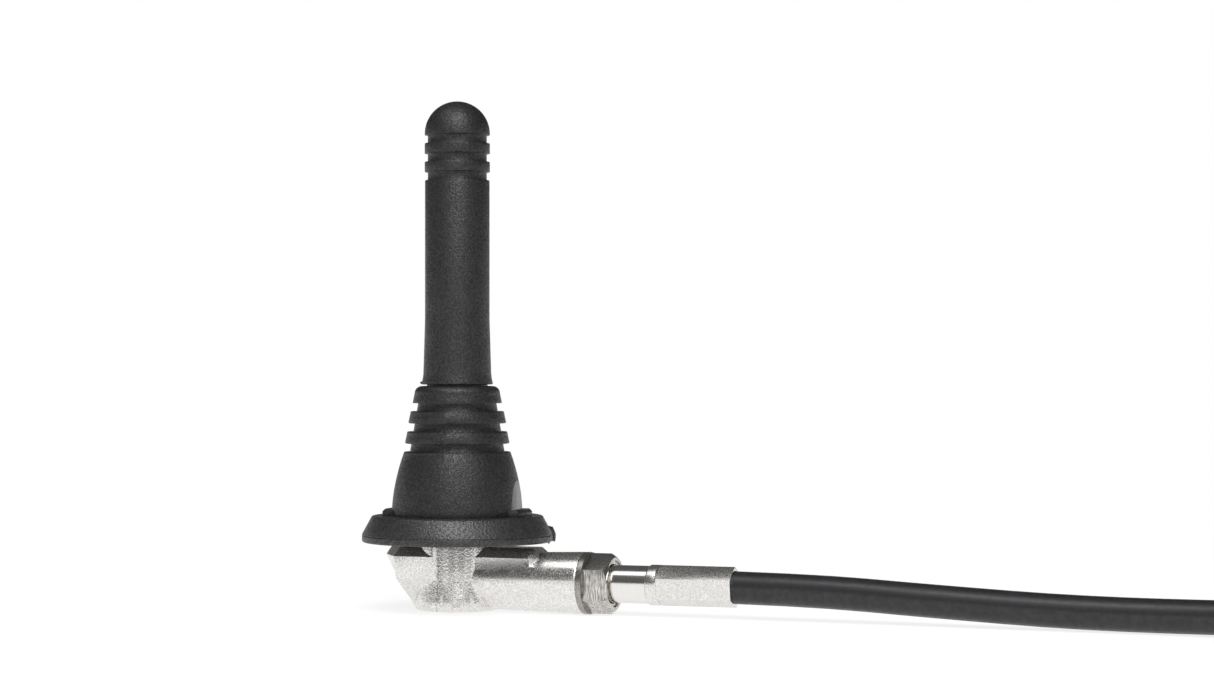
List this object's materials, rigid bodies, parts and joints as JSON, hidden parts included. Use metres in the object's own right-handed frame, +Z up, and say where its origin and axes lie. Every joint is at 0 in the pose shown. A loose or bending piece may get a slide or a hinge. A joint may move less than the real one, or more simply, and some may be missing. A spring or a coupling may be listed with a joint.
{
  "type": "screw mount antenna",
  "caption": "Stub whip antenna on a ribbed cone that screws onto a plated foot through a roof hole, with a side cable outlet and coaxial cable.",
  "frame": {"origin": "centre of the gasket's underside, where the roof's outer face lies", "axes": "+Z up along the whip, +X along the cable's outlet tube, +Y to the left of the tube"},
  "size_m": [0.2696, 0.0502, 0.0788],
  "materials": {
    "plated_casting": "nickel plate over a die casting",
    "plated_brass": "bright nickel plate, turned",
    "plated_steel": "zinc-plated spring steel",
    "brass": "turned",
    "moulded_plastic": "fine spark-eroded grain",
    "gasket_rubber": "matt moulded",
    "cable_jacket": "satin extruded",
    "tie_nylon": "satin",
    "white_insulator": "smooth"
  },
  "bodies": {
    "foot": {"mount_foot": "plated_casting", "post_insulator": "white_insulator", "contact_pin": "brass", "connector_pin": "brass", "connector_insulator": "white_insulator", "connector_body": "plated_brass", "lock_washer": "plated_steel", "gland_nut": "plated_brass", "crimp_ferrule": "plated_brass", "coax_cable": "cable_jacket", "coax_hank": "cable_jacket", "coax_tail": "cable_jacket", "cable_tie_1": "tie_nylon", "cable_tie_2": "tie_nylon", "jack_ferrule": "plated_brass", "jack_body": "plated_brass", "jack_insulator": "white_insulator", "jack_contact": "brass"},
    "seat": {"base_gasket": "gasket_rubber"},
    "cone": {"base_cone": "moulded_plastic", "thread_insert": "brass", "contact_socket": "brass"},
    "seal": {"whip_seal": "gasket_rubber"},
    "whip": {"whip_sheath": "moulded_plastic", "whip_stud": "brass", "coil_former": "white_insulator", "radiator_coil": "brass"}
  },
  "joints": [
    {"name": "clamp_lift", "type": "slide", "parent": "foot", "child": "seat", "axis": [0, 0, 1], "range_m": [0, 0.004]},
    {"name": "cone_turn", "type": "hinge", "parent": "seat", "child": "cone", "pos_m": [0, 0, 0], "axis": [0, 0, 1], "range_deg": [0, 1440]},
    {"name": "whip_lift", "type": "slide", "parent": "cone", "child": "seal", "axis": [0, 0, 1], "range_m": [0, 0.0048]},
    {"name": "whip_turn", "type": "hinge", "parent": "seal", "child": "whip", "pos_m": [0, 0, 0], "axis": [0, 0, 1], "range_deg": [0, 2160]}
  ],
  "couplings": [
    {"joint": "cone_turn", "follows": "clamp_lift", "rad_per_m": 6283.2},
    {"joint": "whip_turn", "follows": "whip_lift", "rad_per_m": 7854}
  ]
}
